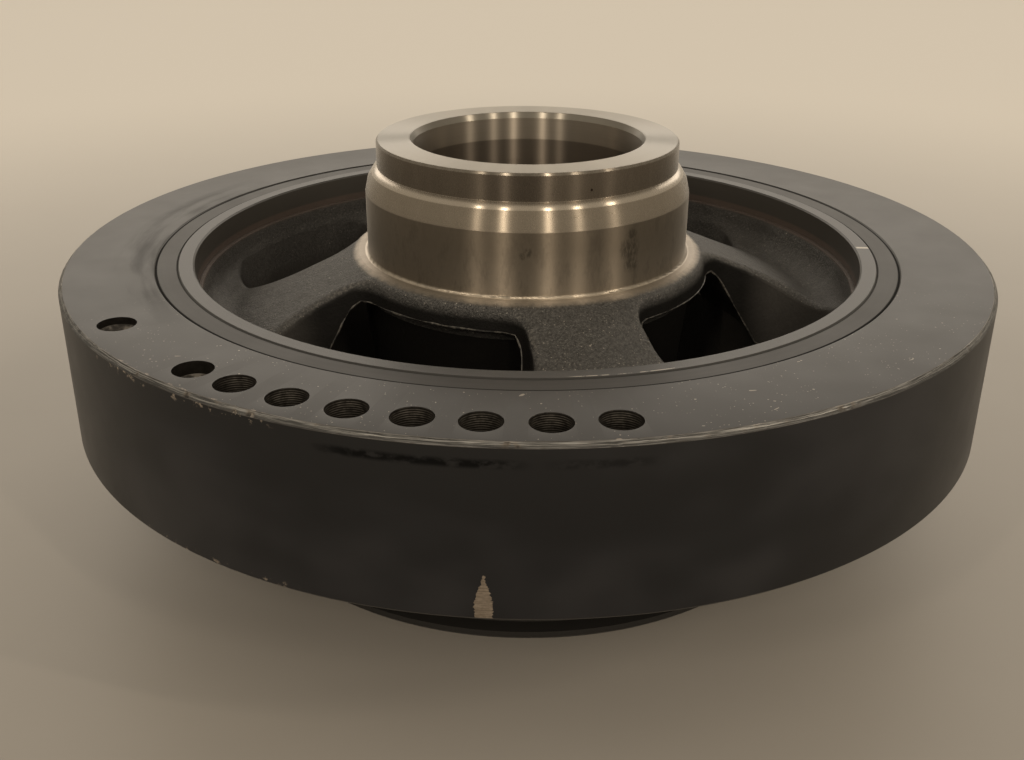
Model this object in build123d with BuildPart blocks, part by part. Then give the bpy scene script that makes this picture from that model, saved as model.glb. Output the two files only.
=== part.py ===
"""Harmonic balancer for a large V8 engine: a cast hub with a belt pulley, a rubber ring, an inertia ring.

Frame: millimetres, +Z up along the crankshaft axis from the pulley towards the hub's nose. The origin is
on that axis, in the pulley's end face, on which the balancer stands.
"""

import os
from math import cos, radians, sin, tan

from build123d import *

# ---------------------------------------------------------------- driving dimensions, in millimetres
# Heights along the axis
PULLEY_LENGTH = 32.3        # pulley end face to the underside of the rim
RING_LENGTH = 34.7          # axial length of the rim, the rubber and the inertia ring
NOSE_PROJECTION = 25.5      # nose end face above the ring's upper face

# Rubber ring and the joint that it fills
HUB_RIM_RADIUS = 82.6
RUBBER_THICKNESS = 4.8
LOCK_RISE = 1.2             # rise of the joint to its crest at mid length, so the ring can't walk off
JOINT_EDGE_BREAK = 0.35     # broken edges each side of the rubber
RUBBER_RECESS = 0.2         # rubber ends below the iron faces

# Inertia ring
RING_WIDTH = 20.6           # radial, from its bore to its outer face
RING_EDGE_CHAMFER = 0.8
BALANCE_HOLE_RADIUS = 3.9
BALANCE_HOLE_INSET = 7.8    # hole centres inside the outer face
DRILL_POINT_ANGLE = 118.0
DEEP_HOLE_DEPTH = 17.0
DEEP_HOLE_COUNT = 7
FIRST_DEEP_HOLE_ANGLE = -80.7
DEEP_HOLE_PITCH_ANGLE = -6.73
SHALLOW_HOLES = ((-127.3, 2.6), (-144.7, 1.5))     # (angle in degrees, depth of the full diameter)

# Hub nose: seal land, with a lead taper and an upper land above it and a flange below it
SEAL_LAND_RADIUS = 38.5
UPPER_LAND_STEP = 2.9       # upper land's radius below the seal land's
UPPER_LAND_LENGTH = 6.1
LEAD_TAPER_DROP = 1.0       # loss of radius along the lead taper
LEAD_TAPER_LENGTH = 4.4
SHOULDER_HEIGHT = 1.5
FLANGE_WIDTH = 2.2
FLANGE_DROP = 1.1           # flange face below the ring's upper face
FLANGE_FILLET = 0.6
NOSE_EDGE_BREAK = 0.5

# Bore for the crankshaft, and the wall at its end that the crank bolt clamps
BORE_RADIUS = 27.0
BORE_DEPTH = 47.5
BORE_LEAD_IN = 0.7
BORE_LEAD_IN_HEIGHT = 1.4
BOLT_HOLE_RADIUS = 12.75
BOLT_WALL = 12.0
BOLT_SEAT_RADIUS = 24.0
BOLT_SEAT_DEPTH = 0.6       # spot face below the cast end of the boss

# Web and rim
WEB_SLOPE = 23.6            # fall of the web's upper face away from the flange, in degrees
RIM_WALL = 3.8              # between the rim's bore and the rubber
RIM_BORE_DEPTH = 6.8
RIM_LEDGE_WIDTH = 1.2
CAST_DRAFT = 10.0
TROUGH_FILLET = 5.5

# Windows between the spokes
WINDOW_COUNT = 4
SPOKE_ANGLE = -74.5         # centre line of the first spoke, in degrees
SPOKE_HALF_WIDTH = 11.7     # at the level of the ring's upper face
WINDOW_DEPTH = 26.7         # below the ring's upper face, down to the top of the pulley's wall
WINDOW_DRAFT = 10.0
WINDOW_INSET = 1.7          # inner wall outside the flange
WINDOW_WALL_OFFSET = 0.4    # outer wall inside the rim's cast wall
WINDOW_INNER_CORNER = 9.5
WINDOW_OUTER_CORNER = 18.0
WINDOW_EDGE_FILLET = 2.0

# Cavity inside the pulley, between the boss and the pulley's wall: depths are below the ring's upper face
BOSS_TAPER = 2.7            # boss root's radius above its end's
BOSS_ROOT_INSET = 0.5       # boss root inside the flange
BOSS_ROOT_DEPTH = 10.0
CROWN_DEPTH = 6.9
CROWN_INSET = 1.7           # flat crown's inner edge outside the flange
CROWN_WIDTH = 2.8
SPOKE_HEEL_INSET = 6.8      # underside of the spoke begins this far outside the flange
SPOKE_HEEL_DEPTH = 9.2
SPOKE_FOOT_INSET = 1.8      # and ends this far inside the pulley's wall
CAVITY_FILLET = 2.5

# Multi-rib belt pulley
PULLEY_RADIUS = 70.2        # over the rib tips
PULLEY_WALL = 10.2
PULLEY_MOUTH_FLARE = 2.0    # draft of the wall's inner face, over the wall's height
RIB_COUNT = 8
RIB_PITCH = 3.56
GROOVE_DEPTH = 3.0
GROOVE_ANGLE = 40.0
GROOVE_TOP_WIDTH = 2.7
PULLEY_EDGE_CHAMFER = 1.0
BOSS_EDGE_CHAMFER = 1.5

# ---------------------------------------------------------------- sizes that follow from them
ring_top = PULLEY_LENGTH + RING_LENGTH
nose_top = ring_top + NOSE_PROJECTION
upper_land_end = nose_top - UPPER_LAND_LENGTH
shoulder_end = upper_land_end - SHOULDER_HEIGHT
seal_land_top = shoulder_end - LEAD_TAPER_LENGTH
flange_height = ring_top - FLANGE_DROP
bore_floor_height = nose_top - BORE_DEPTH
boss_end_height = bore_floor_height - BOLT_WALL
ledge_height = ring_top - RIM_BORE_DEPTH
window_floor_height = ring_top - WINDOW_DEPTH

ring_bore_radius = HUB_RIM_RADIUS + RUBBER_THICKNESS
ring_outer_radius = ring_bore_radius + RING_WIDTH
balance_circle_radius = ring_outer_radius - BALANCE_HOLE_INSET
upper_land_radius = SEAL_LAND_RADIUS - UPPER_LAND_STEP
shoulder_radius = SEAL_LAND_RADIUS - LEAD_TAPER_DROP
flange_radius = SEAL_LAND_RADIUS + FLANGE_WIDTH
rim_bore_radius = HUB_RIM_RADIUS - RIM_WALL
cast_wall_radius = rim_bore_radius - RIM_LEDGE_WIDTH
pulley_inner_radius = PULLEY_RADIUS - PULLEY_WALL
pulley_mouth_radius = pulley_inner_radius + PULLEY_MOUTH_FLARE
boss_root_radius = flange_radius - BOSS_ROOT_INSET
boss_end_radius = boss_root_radius - BOSS_TAPER
window_inner_radius = flange_radius + WINDOW_INSET
window_outer_radius = cast_wall_radius - WINDOW_WALL_OFFSET + RIM_BORE_DEPTH * tan(radians(WINDOW_DRAFT))


def corner(sketch, radius, height):
    """The vertex of a half section that lies nearest to (radius, height)."""
    return sketch.vertices().sort_by_distance((radius, height))[0]


def turned_edges(builder, radius):
    """The circular edges of a turned piece at a radius, at whatever height."""
    circles = builder.edges().filter_by(GeomType.CIRCLE)
    return circles.filter_by(lambda edge: abs(edge.radius - radius) < 0.01)


def joint_side(radius):
    """One side of the rubber joint: two shallow cones that meet in a crest at mid length."""
    middle = (PULLEY_LENGTH + ring_top) / 2
    return Polyline((radius, PULLEY_LENGTH), (radius + LOCK_RISE, middle), (radius, ring_top))


def web_face_height(radius):
    """Height of the web's sloping upper face at a radius."""
    return flange_height - (radius - flange_radius) * tan(radians(WEB_SLOPE))


def borders_web_face(edge):
    """True for an edge whose middle lies on the web's upper face, or above it in the trough."""
    middle = edge @ 0.5
    radius = Vector(middle.X, middle.Y).length
    return radius > flange_radius + 0.01 and middle.Z > web_face_height(radius) - WINDOW_EDGE_FILLET


os.makedirs("parts", exist_ok=True)

# -------- hub: one casting, machined where it fits
spoke_direction = Vector(1, 0, 0).rotate(Axis.Z, SPOKE_ANGLE)
section_plane = Plane((0, 0, 0), x_dir=spoke_direction, z_dir=spoke_direction.cross(Vector(0, 0, 1)))
trough_radius = cast_wall_radius - (ledge_height - window_floor_height) / 2 * tan(radians(CAST_DRAFT))
trough_height = web_face_height(trough_radius)

# One window core: a drafted pocket that breaks into the cavity inside the pulley
with BuildPart() as window_core:
    with BuildSketch(Plane.XY.offset(ring_top)) as window_outline:
        Circle(window_outer_radius)
        Circle(window_inner_radius, mode=Mode.SUBTRACT)
        with PolarLocations(0, WINDOW_COUNT, start_angle=SPOKE_ANGLE):
            Rectangle(
                window_outer_radius + 1,
                2 * SPOKE_HALF_WIDTH,
                align=(Align.MIN, Align.CENTER),
                mode=Mode.SUBTRACT,
            )
        add(window_outline.faces().sort_by(Axis.X)[-1], mode=Mode.INTERSECT)
        corners = window_outline.vertices().sort_by(lambda v: Vector(v.X, v.Y).length)
        fillet(corners[:2], WINDOW_INNER_CORNER)
        corners = window_outline.vertices().sort_by(lambda v: Vector(v.X, v.Y).length)
        fillet(corners[-2:], WINDOW_OUTER_CORNER)
    extrude(amount=window_floor_height - ring_top)
    walls = window_core.faces().filter_by(Plane.XY, reverse=True)
    draft(walls, Plane.XY.offset(ring_top), -WINDOW_DRAFT)

with BuildPart() as hub:
    with BuildSketch(section_plane) as hub_section:
        with BuildLine():
            Polyline(
                (BOLT_HOLE_RADIUS, boss_end_height),
                (BOLT_HOLE_RADIUS, bore_floor_height),
                (BORE_RADIUS, bore_floor_height),
                (BORE_RADIUS, nose_top - BORE_LEAD_IN_HEIGHT),
                (BORE_RADIUS + BORE_LEAD_IN, nose_top),
                (upper_land_radius, nose_top),
                (upper_land_radius, upper_land_end),
                (shoulder_radius, shoulder_end),
                (SEAL_LAND_RADIUS, seal_land_top),
                (SEAL_LAND_RADIUS, flange_height),
                (flange_radius, flange_height),
                (trough_radius, trough_height),
                (cast_wall_radius, ledge_height),
                (rim_bore_radius, ledge_height),
                (rim_bore_radius, ring_top),
                (HUB_RIM_RADIUS, ring_top),
            )
            joint_side(HUB_RIM_RADIUS)
            Polyline(
                (HUB_RIM_RADIUS, PULLEY_LENGTH),
                (PULLEY_RADIUS, PULLEY_LENGTH),
                (PULLEY_RADIUS, 0),
                (pulley_mouth_radius, 0),
                (pulley_inner_radius, window_floor_height),
                (pulley_inner_radius - SPOKE_FOOT_INSET, window_floor_height),
                (flange_radius + SPOKE_HEEL_INSET, ring_top - SPOKE_HEEL_DEPTH),
                (flange_radius + CROWN_INSET + CROWN_WIDTH, ring_top - CROWN_DEPTH),
                (flange_radius + CROWN_INSET, ring_top - CROWN_DEPTH),
                (boss_root_radius, ring_top - BOSS_ROOT_DEPTH),
                (boss_end_radius, boss_end_height),
                (BOLT_HOLE_RADIUS, boss_end_height),
            )
        make_face()
        fillet(corner(hub_section, trough_radius, trough_height), TROUGH_FILLET)
        spoke_foot = corner(hub_section, pulley_inner_radius - SPOKE_FOOT_INSET, window_floor_height)
        fillet(spoke_foot, CAVITY_FILLET)
    revolve(axis=Axis.Z)

    # Belt grooves, evenly spaced between two plain lips
    groove_root_width = GROOVE_TOP_WIDTH - 2 * GROOVE_DEPTH * tan(radians(GROOVE_ANGLE / 2))
    first_groove_height = (PULLEY_LENGTH - (RIB_COUNT - 1) * RIB_PITCH) / 2
    groove_heights = [first_groove_height + n * RIB_PITCH for n in range(RIB_COUNT)]
    with BuildSketch(section_plane) as belt_grooves:
        with Locations(*[(PULLEY_RADIUS, height) for height in groove_heights]):
            Polygon(
                (0, -GROOVE_TOP_WIDTH / 2),
                (0, GROOVE_TOP_WIDTH / 2),
                (-GROOVE_DEPTH, groove_root_width / 2),
                (-GROOVE_DEPTH, -groove_root_width / 2),
                align=None,
            )
    revolve(axis=Axis.Z, mode=Mode.SUBTRACT)

    # Windows between the spokes
    with PolarLocations(0, WINDOW_COUNT):
        add(window_core.part, mode=Mode.SUBTRACT)
    fillet(hub.edges(Select.LAST).filter_by(borders_web_face), WINDOW_EDGE_FILLET)

    # Spot face for the bolt head
    with BuildSketch(Plane.XY.offset(boss_end_height)):
        Circle(BOLT_SEAT_RADIUS)
    extrude(amount=BOLT_SEAT_DEPTH, mode=Mode.SUBTRACT)

    # Broken edges
    chamfer(turned_edges(hub, upper_land_radius).sort_by(Axis.Z)[-1], NOSE_EDGE_BREAK)
    chamfer(turned_edges(hub, rim_bore_radius).sort_by(Axis.Z)[-1], JOINT_EDGE_BREAK)
    chamfer(turned_edges(hub, HUB_RIM_RADIUS), JOINT_EDGE_BREAK)
    chamfer(turned_edges(hub, boss_end_radius), BOSS_EDGE_CHAMFER)
    chamfer(turned_edges(hub, pulley_mouth_radius), PULLEY_EDGE_CHAMFER)
    chamfer(turned_edges(hub, PULLEY_RADIUS).sort_by(Axis.Z)[0], PULLEY_EDGE_CHAMFER)
    fillet(turned_edges(hub, SEAL_LAND_RADIUS).sort_by(Axis.Z)[0], FLANGE_FILLET)
hub.part.label = "hub"
export_step(hub.part, "parts/hub.step")

# -------- rubber ring, crested like the joint it fills
with BuildPart() as rubber_ring:
    with BuildSketch(section_plane) as rubber_section:
        with BuildLine():
            inner_side = joint_side(HUB_RIM_RADIUS)
            outer_side = joint_side(ring_bore_radius)
            Line(inner_side @ 0, outer_side @ 0)
            Line(inner_side @ 1, outer_side @ 1)
        make_face()
        with Locations((ring_bore_radius, PULLEY_LENGTH), (ring_bore_radius, ring_top)):
            Rectangle(4 * RUBBER_THICKNESS, 2 * RUBBER_RECESS, mode=Mode.SUBTRACT)
    revolve(axis=Axis.Z)
rubber_ring.part.label = "rubber_ring"
export_step(rubber_ring.part, "parts/rubber_ring.step")

# -------- inertia ring with its drilled balance holes
deep_hole_angles = [FIRST_DEEP_HOLE_ANGLE + n * DEEP_HOLE_PITCH_ANGLE for n in range(DEEP_HOLE_COUNT)]
balance_holes = [(angle, DEEP_HOLE_DEPTH) for angle in deep_hole_angles] + list(SHALLOW_HOLES)
drill_point_height = BALANCE_HOLE_RADIUS / tan(radians(DRILL_POINT_ANGLE / 2))

with BuildPart() as inertia_ring:
    with BuildSketch(section_plane) as ring_section:
        with BuildLine():
            bore_side = joint_side(ring_bore_radius)
            Polyline(
                bore_side @ 0,
                (ring_outer_radius, PULLEY_LENGTH),
                (ring_outer_radius, ring_top),
                bore_side @ 1,
            )
        make_face()
    revolve(axis=Axis.Z)
    chamfer(turned_edges(inertia_ring, ring_outer_radius), RING_EDGE_CHAMFER)
    chamfer(turned_edges(inertia_ring, ring_bore_radius), JOINT_EDGE_BREAK)
    for angle, depth in balance_holes:
        hole_x = balance_circle_radius * cos(radians(angle))
        hole_y = balance_circle_radius * sin(radians(angle))
        with Locations((hole_x, hole_y, ring_top - depth)):
            Cylinder(
                BALANCE_HOLE_RADIUS,
                depth,
                align=(Align.CENTER, Align.CENTER, Align.MIN),
                mode=Mode.SUBTRACT,
            )
            Cone(
                0,
                BALANCE_HOLE_RADIUS,
                drill_point_height,
                align=(Align.CENTER, Align.CENTER, Align.MAX),
                mode=Mode.SUBTRACT,
            )
inertia_ring.part.label = "inertia_ring"
export_step(inertia_ring.part, "parts/inertia_ring.step")
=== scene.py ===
"""Looks of a crankshaft harmonic balancer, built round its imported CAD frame.

The hub and the rubber ring keep their CAD meshes and get their finishes here. The inertia ring is modelled
again, with drill marks in its balance holes and a worn, chipped edge. The windows get their casting flash.
Metres, +Z up along the crankshaft axis, with the pulley's end face on the floor at Z = 0.
"""

from math import atan2, cos, degrees, hypot, pi, radians, sin, tan

import bmesh
import bpy
from mathutils import Matrix, Vector


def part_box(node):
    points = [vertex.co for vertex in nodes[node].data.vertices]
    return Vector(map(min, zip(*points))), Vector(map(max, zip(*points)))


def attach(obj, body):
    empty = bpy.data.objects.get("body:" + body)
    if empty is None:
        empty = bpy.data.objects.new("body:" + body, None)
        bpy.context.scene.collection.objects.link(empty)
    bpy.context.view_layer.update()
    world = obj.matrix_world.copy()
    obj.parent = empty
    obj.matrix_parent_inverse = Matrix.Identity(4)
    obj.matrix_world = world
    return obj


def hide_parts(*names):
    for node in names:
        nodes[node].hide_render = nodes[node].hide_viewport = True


MM = 0.001
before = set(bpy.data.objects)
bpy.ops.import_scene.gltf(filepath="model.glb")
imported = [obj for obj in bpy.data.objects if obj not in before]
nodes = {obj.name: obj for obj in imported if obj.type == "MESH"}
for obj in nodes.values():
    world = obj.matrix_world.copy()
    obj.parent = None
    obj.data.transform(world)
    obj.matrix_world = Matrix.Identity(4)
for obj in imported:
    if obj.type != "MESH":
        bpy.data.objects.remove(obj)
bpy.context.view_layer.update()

# ---------------------------------------------------------------- sizes, in metres
ring_low, ring_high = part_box("inertia_ring")
RING_RADIUS = 108 * MM
RING_TOP = ring_high.z
RING_BOTTOM = ring_low.z
RING_BORE_RADIUS = 87.4 * MM
RING_CHAMFER = 0.8 * MM
CHAMFER_CORNER = 0.16 * MM                    # rounding of the chamfer's own corners
JOINT_CREST = 1.2 * MM                        # rise of the joint at mid length
JOINT_EDGE_BREAK = 0.35 * MM
RING_STEPS = 1280

BALANCE_CIRCLE = RING_RADIUS - 7.8 * MM
HOLE_RADIUS = 3.9 * MM
HOLE_SIDES = 48
DRILL_POINT_HALF_ANGLE = radians(59)
DRILL_FEED = 0.44 * MM                        # pitch of the ridges that the drill left
RIDGE_HEIGHT = 0.06 * MM
DRILL_HEADROOM = 1 * MM                       # length of the cutting shape above the ring's face
DEEP_HOLE_DEPTH = 17 * MM
DEEP_HOLE_ANGLES = [radians(9.3 - 6.73 * n) for n in range(7)]    # from the front, positive to the right
SHALLOW_HOLES = [(radians(-37.3), 2.6 * MM), (radians(-54.7), 1.5 * MM)]

# wear along the ring's upper edge: (angle in degrees from the front, half width of the knock)
EDGE_KNOCKS = ((-1.5, 1.6), (8.0, 0.8), (-27.0, 2.6), (-33.0, 1.4), (-41.0, 2.0), (31.0, 1.2), (52.0, 1.8))
EVEN_WEAR = 0.35                              # share of the full wear between the knocks
WEAR_DEPTH = 0.55 * MM

NOSE_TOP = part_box("hub")[1].z
UPPER_LAND_RADIUS = 35.6 * MM
UPPER_LAND_END = 86.4 * MM
TAPER_TOP = 84.9 * MM
SEAL_LAND_TOP = 80.5 * MM
SEAL_LAND_RADIUS = 38.5 * MM
FLANGE_RADIUS = 40.7 * MM
FLANGE_HEIGHT = RING_TOP - 1.1 * MM
BORE_RADIUS = 27 * MM
BORE_FLOOR = 45 * MM
HUB_RIM_RADIUS = 82.6 * MM
RIM_BORE_RADIUS = 78.8 * MM
LEDGE_HEIGHT = RING_TOP - 6.8 * MM
CAST_WALL_RADIUS = 77.6 * MM
PULLEY_TOP = 32.3 * MM

# slopes of the nose's faces: 0 faces outward, 90 faces up
TAPER_SLOPE = radians(12.8)
SHOULDER_SLOPES = (radians(22), radians(72))  # at its foot and at its top
EDGE_BREAK_SLOPE = radians(45)
LEAD_IN_SLOPE = radians(26)
TOP_SLOPE = radians(90)

FLASH_RADIUS = 0.22 * MM
FLASH_EDGE_ANGLE = radians(24)                # edges sharper than this carry flash


# ---------------------------------------------------------------- node helper
class Finish:
    """Builds one material's nodes. Its methods return sockets, which feed each other."""

    def __init__(self, name):
        self.material = bpy.data.materials.new(name)
        self.material.use_nodes = True
        self.nodes = self.material.node_tree.nodes
        self.links = self.material.node_tree.links
        self.nodes.clear()
        self.output = self.nodes.new("ShaderNodeOutputMaterial")
        self.place = self.nodes.new("ShaderNodeTexCoord").outputs["Object"]
        self.x, self.y, self.z = self.node("ShaderNodeSeparateXYZ", Vector=self.place).outputs
        self.flat = self.node("ShaderNodeCombineXYZ", X=self.x, Y=self.y).outputs[0]
        self.radius = self.vector("LENGTH", self.flat, result="Value")
        self.angle = self.math("ARCTAN2", self.x, self.math("MULTIPLY", self.y, -1))   # 0 at the front

    def node(self, kind, **inputs):
        node = self.nodes.new(kind)
        for name, value in inputs.items():
            self.feed(node.inputs[name.replace("_", " ")], value)
        return node

    def feed(self, socket, value):
        if isinstance(value, bpy.types.NodeSocket):
            self.links.new(value, socket)
        elif isinstance(value, tuple) and socket.type == "RGBA":
            socket.default_value = (*value, 1)
        else:
            socket.default_value = value

    def math(self, operation, *values):
        node = self.nodes.new("ShaderNodeMath")
        node.operation = operation
        for socket, value in zip(node.inputs, values):
            self.feed(socket, value)
        return node.outputs[0]

    def vector(self, operation, *values, result="Vector", **inputs):
        """Vector math; the length and the distance come out as result="Value"."""
        node = self.nodes.new("ShaderNodeVectorMath")
        node.operation = operation
        for socket, value in zip(node.inputs, values):
            self.feed(socket, value)
        for name, value in inputs.items():
            self.feed(node.inputs[name], value)
        return node.outputs[result]

    def add(self, *values):
        total = values[0]
        for value in values[1:]:
            total = self.math("ADD", total, value)
        return total

    def times(self, *values):
        product = values[0]
        for value in values[1:]:
            product = self.math("MULTIPLY", product, value)
        return product

    def most(self, *values):
        most = values[0]
        for value in values[1:]:
            most = self.math("MAXIMUM", most, value)
        return most

    def rest_of(self, share):
        return self.math("SUBTRACT", 1.0, share)

    def step(self, value, start, end):
        """0 before start, 1 past end, smooth between; falls instead where end is below start."""
        node = self.nodes.new("ShaderNodeMapRange")
        node.interpolation_type = "SMOOTHSTEP"
        low, high = min(start, end), max(start, end)
        ends = (0, 1) if end > start else (1, 0)
        for socket, number in zip(node.inputs[1:5], (low, high, *ends)):
            socket.default_value = number
        self.feed(node.inputs[0], value)
        return node.outputs[0]

    def band(self, value, start, end, blur):
        """1 between start and end, with edges as wide as blur."""
        rise = self.step(value, start - blur / 2, start + blur / 2)
        fall = self.step(value, end + blur / 2, end - blur / 2)
        return self.math("MULTIPLY", rise, fall)

    def sector(self, start, end, blur):
        """1 between two angles in degrees from the front, positive to the right."""
        return self.band(self.angle, radians(start), radians(end), radians(blur))

    def window_sectors(self):
        """1 over the windows and 0 over the spokes, which stand at 15.5 degrees and every quarter turn."""
        turned = self.math("MULTIPLY", self.math("SUBTRACT", self.angle, radians(15.5)), 4)
        return self.step(self.math("COSINE", turned), 0.75, 0.4)

    def spot(self, angle, radius, height, size, blur):
        """1 within size of one place, falling to 0 over blur times the size."""
        centre = (radius * sin(radians(angle)), -radius * cos(radians(angle)), height)
        distance = self.vector("DISTANCE", self.place, centre, result="Value")
        return self.step(distance, size * (1 + blur), size)

    def facing(self):
        """The surface's own normal, and how far it points up."""
        normal = self.nodes.new("ShaderNodeNewGeometry").outputs["Normal"]
        return normal, self.node("ShaderNodeSeparateXYZ", Vector=normal).outputs[2]

    def noise(self, size, detail=4, roughness=0.55, where=None, stretch=None):
        """Soft noise from 0 to 1, whose blobs are about size across."""
        where = where or self.place
        if stretch:
            where = self.vector("MULTIPLY", where, stretch)
        node = self.node("ShaderNodeTexNoise", Vector=where, Scale=1 / size, Detail=detail,
                         Roughness=roughness)
        return node.outputs["Fac"]

    def specks(self, spacing, size, share, where=None):
        """Small round specks: share of the cells, each with a speck of about size."""
        cells = self.node("ShaderNodeTexVoronoi", Vector=where or self.place, Scale=1 / spacing)
        chance = self.node("ShaderNodeSeparateColor", Color=cells.outputs["Color"])
        reach = self.math("MULTIPLY_ADD", chance.outputs[1], 0.7, 0.3)
        inside = self.math("LESS_THAN", cells.outputs["Distance"], self.times(reach, size / spacing))
        return self.times(inside, self.math("LESS_THAN", chance.outputs[0], share))

    def stretched_dust(self):
        """Warped coordinates, in which round specks turn into short crooked scratches."""
        warp = self.node("ShaderNodeTexNoise", Vector=self.place, Scale=1 / (7 * MM), Detail=1)
        return self.vector("MULTIPLY_ADD", warp.outputs["Color"], (16 * MM, 9 * MM, 0), self.place)

    def around(self):
        """Coordinates that run round the axis: arc length at the ring, height and radius."""
        arc = self.math("MULTIPLY", self.angle, RING_RADIUS)
        return self.node("ShaderNodeCombineXYZ", X=arc, Y=self.z, Z=self.radius).outputs[0]

    def turning_marks(self, pitch):
        """Fine lines round the axis, as a lathe tool leaves: noise in radius and height alone."""
        section = self.node("ShaderNodeCombineXYZ", X=self.radius, Y=self.z).outputs[0]
        fine = self.noise(pitch, detail=3, roughness=0.7, where=section)
        broad = self.noise(pitch * 9, detail=2, where=section)
        return self.math("MULTIPLY_ADD", broad, 0.4, self.math("MULTIPLY", fine, 0.6))

    def mix(self, share, first, second, kind=None):
        """Colour, number or vector between first and second."""
        if kind is None:
            colour = any(isinstance(v, tuple) or getattr(v, "type", "") == "RGBA" for v in (first, second))
            kind = "RGBA" if colour else "FLOAT"
        node = self.nodes.new("ShaderNodeMix")
        node.data_type = kind
        enabled = [socket for socket in node.inputs if socket.enabled]
        for socket, value in zip(enabled, (share, first, second)):
            self.feed(socket, value)
        return next(socket for socket in node.outputs if socket.enabled)

    def bump(self, height, distance, strength, normal=None):
        node = self.node("ShaderNodeBump", Height=height, Strength=strength, Distance=distance)
        if normal:
            self.links.new(normal, node.inputs["Normal"])
        return node.outputs[0]

    def surface(self, colour, metallic, roughness, normal=None, **constants):
        """A Principled shader; constants are set on its own sockets."""
        shader = self.node("ShaderNodeBsdfPrincipled", Base_Color=colour, Metallic=metallic,
                           Roughness=roughness, **constants)
        if normal:
            self.links.new(normal, shader.inputs["Normal"])
        return shader

    def turned_metal(self, colour, roughness, normal):
        """Bright turned metal, whose highlights run across the tool's marks."""
        shader = self.surface(colour, 1.0, roughness, normal, Anisotropic=1.0, Anisotropic_Rotation=0.25)
        self.links.new(self.vector("CROSS_PRODUCT", (0, 0, 1), self.flat), shader.inputs["Tangent"])
        return shader

    def blend(self, share, first, second):
        """A mix of two shaders."""
        node = self.nodes.new("ShaderNodeMixShader")
        self.feed(node.inputs[0], share)
        self.links.new(first.outputs[0], node.inputs[1])
        self.links.new(second.outputs[0], node.inputs[2])
        return node

    def finish(self, shader):
        self.links.new(shader.outputs[0], self.output.inputs["Surface"])
        return self.material


# ---------------------------------------------------------------- camera, lights, floor
CAMERA_PLACE = Vector((0, -0.27379, 0.15342))
CAMERA_ELEVATION = -24.387                    # degrees, below the horizon
CAMERA_HEADING = 0.7095
CAMERA_ROLL = 0.257
FOCAL_LENGTH = 40.99                          # on a sensor 36 mm wide

LAMP_DISTANCE = 2.4
BACK_LAMP_COLOUR = (1.0, 0.9, 0.78)
CEILING_LAMP_COLOUR = (1.0, 0.86, 0.68)
CEILING_LAMPS = ((-37, 34, 5), (-16.5, 30, 8), (15.6, 30, 8), (39, 34, 6), (68.5, 34, 6))
ROOM_COLOUR = (0.68, 0.60, 0.48, 1)
ROOM_STRENGTH = 0.8

# the near floor tones carry painted shade round the object
SHADED_FLOOR_TONES = (0.30, 0.279, 0.254), (0.34, 0.318, 0.291)
FAR_FLOOR = (0.60, 0.56, 0.50)


def add_camera():
    camera = bpy.data.objects.new("camera", bpy.data.cameras.new("camera"))
    bpy.context.scene.collection.objects.link(camera)
    camera.data.lens = FOCAL_LENGTH
    camera.data.sensor_width = 36
    camera.data.clip_start = 0.01
    turn = Matrix.Rotation(radians(CAMERA_HEADING), 4, "Z")
    tilt = Matrix.Rotation(radians(90 + CAMERA_ELEVATION), 4, "X")
    roll = Matrix.Rotation(radians(CAMERA_ROLL), 4, "Z")
    camera.matrix_world = Matrix.Translation(CAMERA_PLACE) @ turn @ tilt @ roll
    bpy.context.scene.camera = camera


def add_lamp(name, azimuth, elevation, width, height, power, colour):
    """An area lamp that faces the object. Azimuth 0 is the front, +X is at 90 degrees."""
    away = Vector((sin(radians(azimuth)) * cos(radians(elevation)),
                   -cos(radians(azimuth)) * cos(radians(elevation)), sin(radians(elevation))))
    lamp = bpy.data.objects.new(name, bpy.data.lights.new(name, "AREA"))
    bpy.context.scene.collection.objects.link(lamp)
    lamp.data.shape = "RECTANGLE"
    lamp.data.size, lamp.data.size_y = width, height
    lamp.data.energy = power
    lamp.data.color = colour
    lamp.location = Vector((0, 0, RING_TOP)) + away * LAMP_DISTANCE
    lamp.rotation_mode = "QUATERNION"
    lamp.rotation_quaternion = away.to_track_quat("Z", "Y")


def add_room():
    world = bpy.data.worlds.new("room")
    bpy.context.scene.world = world
    world.use_nodes = True
    background = world.node_tree.nodes["Background"]
    background.inputs["Color"].default_value = ROOM_COLOUR
    background.inputs["Strength"].default_value = ROOM_STRENGTH


def add_floor():
    deselect()
    bpy.ops.mesh.primitive_plane_add(size=12, location=(0, 0, 0))
    floor = bpy.context.object
    floor.name = "floor"
    paint = Finish("pale_floor")
    tone = paint.mix(paint.noise(0.06, detail=5), *SHADED_FLOOR_TONES)
    # painted shade: the floor is darker round the object and paler further out
    tone = paint.mix(paint.step(paint.radius, 0.16, 0.6), tone, FAR_FLOOR)
    floor.data.materials.append(paint.finish(paint.surface(tone, 0.0, 0.5)))


def add_studio():
    add_camera()
    add_lamp("back_soft", 180, 27, 3.2, 1.1, 18, BACK_LAMP_COLOUR)
    for number, (azimuth, elevation, power) in enumerate(CEILING_LAMPS):
        add_lamp(f"ceiling_lamp_{number}", azimuth, elevation, 0.07, 0.45, power, CEILING_LAMP_COLOUR)
    add_room()
    add_floor()
    bpy.context.scene.view_settings.view_transform = "Standard"


# ---------------------------------------------------------------- modelling helpers
def deselect():
    if bpy.context.object and bpy.context.object.mode == "EDIT":
        bpy.ops.object.mode_set(mode="OBJECT")
    bpy.ops.object.select_all(action="DESELECT")


def activate(obj):
    deselect()
    obj.select_set(True)
    bpy.context.view_layer.objects.active = obj


def edit(obj):
    """Opens a piece in edit mode with nothing selected."""
    activate(obj)
    bpy.ops.object.mode_set(mode="EDIT")
    bpy.ops.mesh.select_all(action="DESELECT")


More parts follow.
